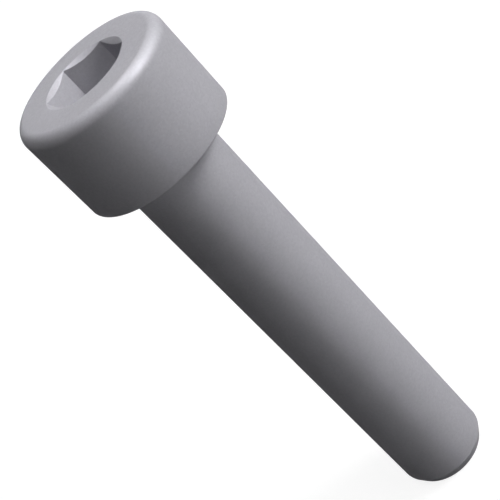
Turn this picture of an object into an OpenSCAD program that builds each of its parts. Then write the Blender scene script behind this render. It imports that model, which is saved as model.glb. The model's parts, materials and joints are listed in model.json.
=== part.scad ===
// Cap screw: a cylindrical head with a hexagon socket, on a plain round shank.
// It is one piece of coated steel. Sizes are in millimetres.
// The head's bearing face lies on z = 0, the head stands above it and the
// shank points down. The hexagon has a corner on +X and a flat towards +Y.

/* [Head] */
// Diameter of the head
head_d = 13; // [11:0.25:18]
// Height of the head, from its bearing face to its top
head_h = 8; // [7:0.25:14]
// Radius of the round edge at the top of the head
head_r = 0.9; // [0.3:0.1:1.8]
// Radius of the small round on the head's lower rim
rim_r = 0.1; // [0.05:0.05:0.4]

/* [Socket] */
// Key size, across the flats of the hexagon
key_w = 6; // [4:0.25:7]
// Depth of the hexagon's flats below the top of the head
flat_h = 4.2; // [3:0.1:5]
// How far the countersink at the mouth reaches past the hexagon's corners
mouth_c = 0.03; // [0.02:0.01:0.5]
// Included angle of the countersink
mouth_a = 120; // [90:5:150]
// Depth of the shallow cone that the punch leaves below the flats
punch_h = 0.5; // [0.1:0.1:1.2]
// Width of the flat ledge between the flats and that cone
punch_in = 0.1; // [0.05:0.05:0.5]

/* [Shank] */
// Diameter of the shank
shank_d = 8; // [5:0.25:10]
// Length of the shank, from the bearing face to the flat end
shank_l = 40; // [10:1:100]
// Radius of the fillet between the shank and the bearing face
neck_r = 0.4; // [0.1:0.05:0.6]
// How far the end chamfer cuts in from the side of the shank
end_in = 0.45; // [0.2:0.05:1.5]
// How far the end chamfer runs up the shank
end_up = 0.9; // [0.3:0.1:3]

/* [Hidden] */
$fn = 180;
head_rad = head_d / 2;
shank_rad = shank_d / 2;
neck_rad = shank_rad + neck_r;
corner_rad = key_w / 2 / cos(30);
mouth_rad = corner_rad + mouth_c;
// How far a cut runs past the face that it opens
past = 1;

// What a round of radius r takes off an outer corner, seen from the round's centre
module corner_waste(r) {
    difference() {
        square(r + past);
        circle(r);
    }
}

// Half section of the whole screw, with its axis on the left
module section() {
    difference() {
        polygon([
            [0, head_h], [head_rad, head_h], [head_rad, 0],
            [neck_rad, 0], [neck_rad, -neck_r], [shank_rad, -neck_r],
            [shank_rad, end_up - shank_l], [shank_rad - end_in, -shank_l], [0, -shank_l]
        ]);
        translate([head_rad - head_r, head_h - head_r]) corner_waste(head_r);
        translate([head_rad - rim_r, rim_r]) mirror([0, 1]) corner_waste(rim_r);
        translate([neck_rad, -neck_r]) circle(neck_r);
    }
}

// The hexagon, its countersunk mouth and the punch's cone under it
module socket() {
    translate([0, 0, head_h - flat_h]) {
        cylinder(h = flat_h + past, r = corner_rad, $fn = 6);
        mirror([0, 0, 1]) cylinder(h = punch_h, r1 = key_w / 2 - punch_in, r2 = 0);
    }
    mouth_h = mouth_rad / tan(mouth_a / 2);
    past_rad = past * tan(mouth_a / 2);
    translate([0, 0, head_h - mouth_h])
        cylinder(h = mouth_h + past, r1 = 0, r2 = mouth_rad + past_rad);
}

module cap_screw() {
    color([0.675, 0.671, 0.694])
        difference() {
            rotate_extrude() section();
            socket();
        }
}

cap_screw();
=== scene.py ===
import json
import math

import bmesh
import bpy
from mathutils import Euler, Matrix, Vector


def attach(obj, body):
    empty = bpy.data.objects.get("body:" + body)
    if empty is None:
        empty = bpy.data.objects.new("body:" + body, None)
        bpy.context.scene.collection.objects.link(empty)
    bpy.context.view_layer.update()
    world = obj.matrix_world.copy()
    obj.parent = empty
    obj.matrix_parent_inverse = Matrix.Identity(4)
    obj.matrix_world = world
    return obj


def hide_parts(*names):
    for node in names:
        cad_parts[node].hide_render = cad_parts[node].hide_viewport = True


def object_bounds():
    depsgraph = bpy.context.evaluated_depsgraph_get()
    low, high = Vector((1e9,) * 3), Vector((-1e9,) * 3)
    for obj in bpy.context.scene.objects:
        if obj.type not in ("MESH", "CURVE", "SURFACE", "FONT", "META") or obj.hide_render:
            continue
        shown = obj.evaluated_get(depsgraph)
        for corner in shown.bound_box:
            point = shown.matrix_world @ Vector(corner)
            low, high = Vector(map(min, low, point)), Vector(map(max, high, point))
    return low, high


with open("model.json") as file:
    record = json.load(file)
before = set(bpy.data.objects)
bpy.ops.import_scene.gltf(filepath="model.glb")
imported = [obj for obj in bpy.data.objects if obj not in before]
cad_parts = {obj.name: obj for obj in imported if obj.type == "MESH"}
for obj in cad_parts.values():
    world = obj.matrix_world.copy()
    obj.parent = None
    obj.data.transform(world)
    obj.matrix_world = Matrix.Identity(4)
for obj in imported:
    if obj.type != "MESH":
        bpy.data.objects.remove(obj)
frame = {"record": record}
cadLow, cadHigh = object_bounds()
shankMount = next(m for m in frame["record"]["mounts"] if m["name"] == "shank")

mm = 0.001


# helpers

def hexToLinear(hexColour):
    # an sRGB colour such as "#ABABB1" as the linear red, green, blue and alpha that sockets take
    channels = [int(hexColour[i:i + 2], 16) / 255 for i in (1, 3, 5)]
    linear = [c / 12.92 if c <= 0.04045 else ((c + 0.055) / 1.055) ** 2.4 for c in channels]
    return (*linear, 1.0)


def addNode(tree, kind, links=None, **settings):
    # one node with its settings, and the sockets that feed its inputs
    made = tree.nodes.new("ShaderNode" + kind)
    for name, value in settings.items():
        if hasattr(made, name):
            setattr(made, name, value)
        else:
            made.inputs[name.replace("_", " ")].default_value = value
    for socket, source in (links or {}).items():
        tree.links.new(source, made.inputs[socket])
    return made


def newMaterial(name):
    material = bpy.data.materials.new(name)
    material.use_nodes = True
    material.node_tree.nodes.clear()
    return material, material.node_tree


def seenDirectly(tree):
    # 1 where the eye, a reflection or clear glass looks, 0 for bounced light
    rays = addNode(tree, "LightPath").outputs
    seen = addNode(tree, "Math", {0: rays["Is Camera Ray"], 1: rays["Is Glossy Ray"]},
                   operation="MAXIMUM")
    return addNode(tree, "Math", {0: seen.outputs[0], 1: rays["Is Transmission Ray"]},
                   operation="MAXIMUM").outputs[0]


# the screw's mesh: a half section turned round the axis, whose inner end follows the hexagon

screwShape = {
    "keyWidth": 6.0 * mm,          # across the socket's flats
    "flatDepth": 4.2 * mm,         # flats below the top of the head
    "mouthPast": 0.03 * mm,        # countersink past the hexagon's corners
    "mouthSlope": 30,              # degrees down from the top of the head
    "punchDepth": 0.5 * mm,        # cone that the punch leaves below the flats
    "punchInset": 0.1 * mm,        # ledge between the flats and that cone
    "endIn": 0.45 * mm,            # end chamfer, in from the side
    "endUp": 0.9 * mm,             # and up the shank
    # each rounding's radius and the faces across it
    "topRound": (0.9 * mm, 20),
    "rimRound": (0.1 * mm, 5),
    "neckRound": (0.4 * mm, 8),
    "edgeBreak": (0.05 * mm, 3),   # every other edge, softened by tumbling
    "ledgeBreak": (0.05 * mm, 2),
    "roundingShare": 0.4,          # most of a straight stretch that one rounding takes
    "stepsRound": 240,             # faces round the axis
    "longestFace": 2.0 * mm,       # about the longest along the section
    "sharpFrom": 35,               # degrees between faces from which shading breaks
}


def hexRadius(shape, angle):
    # from the axis to the hexagon's wall; its corners lie on +X and every 60 degrees
    fromFlat = (angle % math.radians(60)) - math.radians(30)
    return shape["keyWidth"] / 2 / math.cos(fromFlat)


def sectionCorners(shape, angle):
    # radius, height, rounding and its faces at each corner, from the flat end up and into the socket
    end, top = cadLow.z, cadHigh.z
    headRadius = cadHigh.x
    shankRadius = shankMount["dims"]["r_mm"] * mm
    edge = shape["edgeBreak"]
    wall = hexRadius(shape, angle)
    mouth = hexRadius(shape, 0) + shape["mouthPast"]
    mouthDrop = (mouth - wall) * math.tan(math.radians(shape["mouthSlope"]))
    floor = top - shape["flatDepth"]
    return [
        (0, end, 0, 0),
        (shankRadius - shape["endIn"], end, *edge),
        (shankRadius, end + shape["endUp"], *edge),
        (shankRadius, 0, *shape["neckRound"]),
        (headRadius, 0, *shape["rimRound"]),
        (headRadius, top, *shape["topRound"]),
        (mouth, top, *edge),
        (wall, top - mouthDrop, *edge),
        (wall, floor, *edge),
        (shape["keyWidth"] / 2 - shape["punchInset"], floor, *shape["ledgeBreak"]),
        (0, floor - shape["punchDepth"], 0, 0),
    ]


def softenedSection(shape, angle, straightSteps):
    # the corners as one line of points, each corner swung round its rounding
    corners = sectionCorners(shape, angle)
    arcs = []
    for i, (x, z, rounding, steps) in enumerate(corners):
        here = Vector((x, z))
        if not steps:
            arcs.append([here])
            continue
        before = Vector(corners[i - 1][:2]) - here
        after = Vector(corners[i + 1][:2]) - here
        turn = math.pi - before.angle(after)
        most = shape["roundingShare"] * min(before.length, after.length)
        reach = min(rounding * math.tan(turn / 2), most)
        radius = reach / math.tan(turn / 2)
        inward = (before.normalized() + after.normalized()).normalized()
        centre = here + inward * (radius / math.cos(turn / 2))
        arm = here + before.normalized() * reach - centre
        swing = math.copysign(turn, before.x * after.y - before.y * after.x)
        arcs.append([centre + Matrix.Rotation(-swing * step / steps, 2) @ arm
                     for step in range(steps + 1)])
    points = []
    for i, arc in enumerate(arcs):
        if i:
            gap = arc[0] - arcs[i - 1][-1]
            for step in range(1, straightSteps[i]):
                points.append(arcs[i - 1][-1] + gap * (step / straightSteps[i]))
        points += arc
    return points


def turnedMesh(shape):
    # every section has as many points as the first, so neighbours join face to face
    first = sectionCorners(shape, 0)
    steps = [1] + [max(1, round(math.dist(a[:2], b[:2]) / shape["longestFace"]))
                   for a, b in zip(first, first[1:])]
    made = bmesh.new()
    columns = []
    for column in range(shape["stepsRound"]):
        angle = math.tau * column / shape["stepsRound"]
        line = softenedSection(shape, angle, steps)
        columns.append([made.verts.new((p.x * math.cos(angle), p.x * math.sin(angle), p.y))
                        for p in line[1:-1]])
    endMiddle = made.verts.new((0, 0, line[0].y))
    socketMiddle = made.verts.new((0, 0, line[-1].y))
    for left, right in zip(columns, columns[1:] + columns[:1]):
        made.faces.new((endMiddle, right[0], left[0]))
        made.faces.new((socketMiddle, left[-1], right[-1]))
        for low in range(len(left) - 1):
            made.faces.new((left[low], right[low], right[low + 1], left[low + 1]))
    mesh = bpy.data.meshes.new("cap_screw_skin")
    made.to_mesh(mesh)
    made.free()
    mesh.shade_smooth()
    mesh.set_sharp_from_angle(angle=math.radians(shape["sharpFrom"]))
    return mesh


screw = bpy.data.objects.new("cap_screw_skin", turnedMesh(screwShape))
bpy.context.scene.collection.objects.link(screw)
evenShading = screw.modifiers.new("evenShading", "WEIGHTED_NORMAL")  # long faces keep their own normal
evenShading.keep_sharp = True
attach(screw, "root")
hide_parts("cap_screw")
print("screw:", len(screw.data.polygons), "faces")


# the coating

zincFlake = {
    "darkFlake": "#A4A3A9",
    "paleFlake": "#B1B0B6",
    "flakeSize": 0.15 * mm,        # real flakes are about 0.015 mm, drawn ten times coarser to show
    "flakeRelief": 0.0012 * mm,
    "grainDetail": 1.0,
    "filmSize": 3.0 * mm,          # slow drift of the film where the basket left it thicker
    "filmDetail": 2.0,
    "filmShare": 0.4,              # of the drift in the tone, the rest of which is flakes
    "thinFilm": 0.3,               # noise value where the film is thinnest
    "thickFilm": 0.7,              # and where it is thickest
    "openRoughness": 0.61,         # thin film, with the flakes standing out of it
    "smoothRoughness": 0.53,       # thick film
    "bareFlake": 0.04,             # share of the surface that mirrors as metal, the same at any slant
    "binderGloss": 0.0,            # the baked binder between the flakes is dead matt
}


def makeZincFlake(look):
    # zinc flake coating, dip-spun and baked: an even matt grey with a faint grain and soft highlights
    material, tree = newMaterial("zincFlakeCoat")
    place = addNode(tree, "TexCoord").outputs["Object"]
    flakes = addNode(tree, "TexVoronoi", {"Vector": place}, Scale=1 / look["flakeSize"])
    film = addNode(tree, "TexNoise", {"Vector": place}, Scale=1 / look["filmSize"],
                   Detail=look["filmDetail"])
    tone = addNode(tree, "MixRGB", {"Color1": flakes.outputs["Color"],
                                    "Color2": film.outputs[0]}, Fac=look["filmShare"])
    colour = addNode(tree, "MixRGB", {"Fac": tone.outputs[0]},
                     Color1=hexToLinear(look["darkFlake"]), Color2=hexToLinear(look["paleFlake"]))
    roughness = addNode(tree, "MapRange", {"Value": film.outputs[0]},
                        From_Min=look["thinFilm"], From_Max=look["thickFilm"],
                        To_Min=look["openRoughness"], To_Max=look["smoothRoughness"])
    grain = addNode(tree, "TexNoise", {"Vector": place}, Scale=1 / look["flakeSize"],
                    Detail=look["grainDetail"])
    relief = addNode(tree, "Bump", {"Height": grain.outputs[0]}, Distance=look["flakeRelief"])
    surface = addNode(tree, "BsdfPrincipled",
                      {"Base Color": colour.outputs[0], "Roughness": roughness.outputs[0],
                       "Normal": relief.outputs[0]},
                      Metallic=look["bareFlake"], Specular_IOR_Level=look["binderGloss"])
    addNode(tree, "OutputMaterial", {"Surface": surface.outputs[0]})
    return material


screw.data.materials.append(makeZincFlake(zincFlake))
print("coating: ready")


# the table top

table = {
    "width": 6.0,                  # metres, so that its edge stays out of sight
    "sheetColour": "#868686",      # darker than it looks, because the glow comes on top
    "glow": 0.86,                  # white that only the eye and reflections see
    "bounceColour": "#919191",     # what it throws back onto the screw
}


def makeWhiteLaminate(look):
    # white laminate, pressed matt: a plain white ground that still shows the screw's faint shadow
    material, tree = newMaterial("whiteLaminate")
    sheet = addNode(tree, "BsdfDiffuse", Color=hexToLinear(look["sheetColour"]))
    glow = addNode(tree, "Emission", Color=hexToLinear("#FFFFFF"), Strength=look["glow"])
    seen = addNode(tree, "AddShader", {0: sheet.outputs[0], 1: glow.outputs[0]})
    bounced = addNode(tree, "BsdfDiffuse", Color=hexToLinear(look["bounceColour"]))
    mixed = addNode(tree, "MixShader", {0: seenDirectly(tree), 1: bounced.outputs[0],
                                        2: seen.outputs[0]})
    addNode(tree, "OutputMaterial", {"Surface": mixed.outputs[0]})
    return material


bpy.ops.mesh.primitive_plane_add(size=table["width"], location=(0, 0, cadLow.z))
tableTop = bpy.context.object
tableTop.name = "tableTop"
tableTop.data.materials.append(makeWhiteLaminate(table))
print("table: ready")


# light and camera

studio = {
    "ambient": 0.02,
    "wall": "#F1F1F1",         # the white that the far end of the table fades to
    "lampDistance": 0.5,       # metres from the middle of the bearing face
    # azimuth, elevation, lamp size in metres and level; at level 1 a white surface facing it is white
    "overhead": (0, 90, 0.18, 0.31),
    "side": (85, 30, 0.18, 0.71),
    "fill": (55, 30, 0.18, 0.25),        # casts no shadow
    "rear": (205, 5, 0.12, 0.4),
    "topSheen": (135, 75, 0.18, 5.0),    # the sheens light the gloss alone
    "sideSheen": (80, 40, 0.18, 9.0),
}


def makeWorld(look):
    world = bpy.data.worlds.new("studioWhite")
    world.use_nodes = True
    tree = world.node_tree
    tree.nodes.clear()
    seen = addNode(tree, "Background", Color=hexToLinear(look["wall"]))
    ambient = addNode(tree, "Background", Color=hexToLinear("#FFFFFF"), Strength=look["ambient"])
    mixed = addNode(tree, "MixShader", {0: seenDirectly(tree), 1: ambient.outputs[0],
                                        2: seen.outputs[0]})
    addNode(tree, "OutputWorld", {"Surface": mixed.outputs[0]})
    return world


def softbox(name, azimuth, elevation, size, level):
    # azimuth 0 stands in front, towards -Y, and 90 on the right
    distance = studio["lampDistance"]
    lamp = bpy.data.lights.new(name, "AREA")
    lamp.shape = "DISK"
    lamp.size = size
    lamp.energy = level * math.pi ** 2 * distance ** 2
    away = Vector((math.sin(math.radians(azimuth)) * math.cos(math.radians(elevation)),
                   -math.cos(math.radians(azimuth)) * math.cos(math.radians(elevation)),
                   math.sin(math.radians(elevation))))
    stand = bpy.data.objects.new(name, lamp)
    stand.location = away * distance
    stand.rotation_euler = (-away).to_track_quat("-Z", "Y").to_euler()
    bpy.context.scene.collection.objects.link(stand)
    return stand


bpy.context.scene.world = makeWorld(studio)
softbox("overhead", *studio["overhead"])
softbox("side", *studio["side"])
softbox("fill", *studio["fill"]).data.use_shadow = False
softbox("rear", *studio["rear"])
for sheen in ("topSheen", "sideSheen"):
    softbox(sheen, *studio[sheen]).visible_diffuse = False

cameraSetup = {
    "place": (19.072, -81.298, 37.106),   # mm from the middle of the bearing face
    "turn": (50.971, 36.897, -12.579),    # degrees
    "lens": 89.86,
    "nearest": 5 * mm,                    # it shows nothing closer than this
}
camera = bpy.data.objects.new("camera", bpy.data.cameras.new("camera"))
camera.data.lens = cameraSetup["lens"]
camera.data.clip_start = cameraSetup["nearest"]
camera.location = Vector(cameraSetup["place"]) * mm
camera.rotation_euler = Euler([math.radians(a) for a in cameraSetup["turn"]])
bpy.context.scene.collection.objects.link(camera)
bpy.context.scene.camera = camera
bpy.context.scene.view_settings.view_transform = "Standard"
print("studio: ready")
